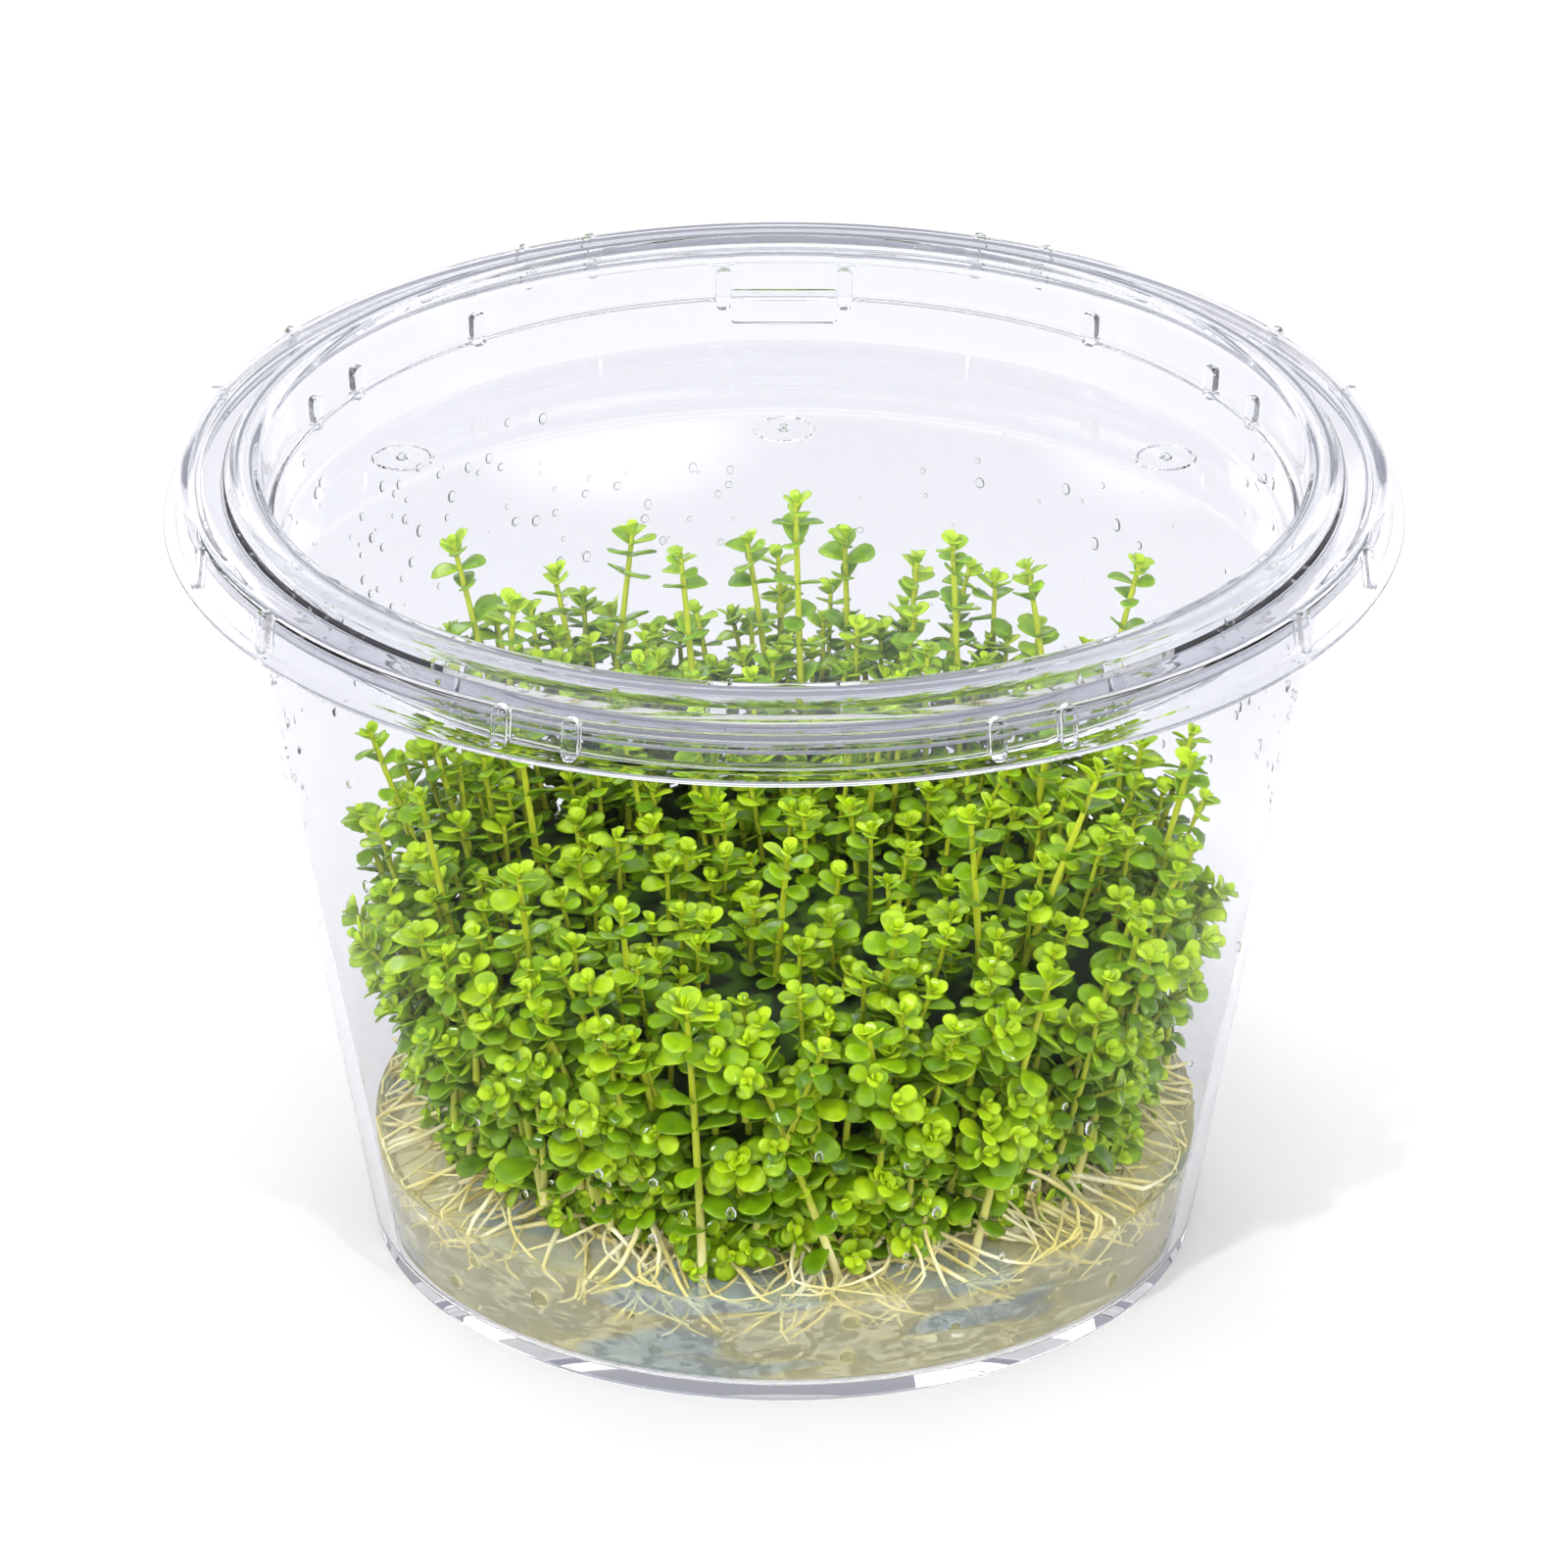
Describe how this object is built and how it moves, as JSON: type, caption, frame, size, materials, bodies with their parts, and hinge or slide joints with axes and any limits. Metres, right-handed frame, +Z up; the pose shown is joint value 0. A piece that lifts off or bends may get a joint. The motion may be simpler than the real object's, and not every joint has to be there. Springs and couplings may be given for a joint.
{
  "type": "tissue culture pearlweed",
  "caption": "Clear round culture cup with a press-on lid, nutrient gel on its floor, spreading roots, a dense carpet of small-leaved pearlweed and taller leafy shoots.",
  "frame": {"origin": "on the surface the cup stands on, under the middle of its base", "axes": "+Z up; -Y is the front, the side that the picture shows; +X to the right seen from the front"},
  "size_m": [0.117, 0.117, 0.0803],
  "materials": {
    "clear_plastic": "clear, smooth gloss",
    "nutrient_gel": "clear cream jelly, wet gloss",
    "root": "ivory roots, satin",
    "leaf": "living leaf, satin",
    "young_leaf": "young living leaf, wet gloss"
  },
  "bodies": {
    "root": {"cup": "clear_plastic", "lid": "clear_plastic", "gel": "nutrient_gel", "roots": "root", "pearlweed_carpet": "leaf", "shoot_01": "young_leaf", "shoot_02": "young_leaf", "shoot_03": "young_leaf", "shoot_04": "young_leaf", "shoot_05": "young_leaf", "shoot_06": "young_leaf", "shoot_07": "young_leaf", "shoot_08": "young_leaf", "shoot_09": "young_leaf", "shoot_10": "young_leaf", "shoot_11": "young_leaf", "shoot_12": "young_leaf", "shoot_13": "young_leaf", "shoot_14": "young_leaf", "shoot_15": "young_leaf", "shoot_16": "young_leaf", "shoot_17": "young_leaf", "shoot_18": "young_leaf", "shoot_19": "young_leaf", "shoot_20": "young_leaf", "shoot_21": "young_leaf", "shoot_22": "young_leaf", "shoot_23": "young_leaf", "shoot_24": "young_leaf", "shoot_25": "young_leaf"}
  },
  "joints": []
}
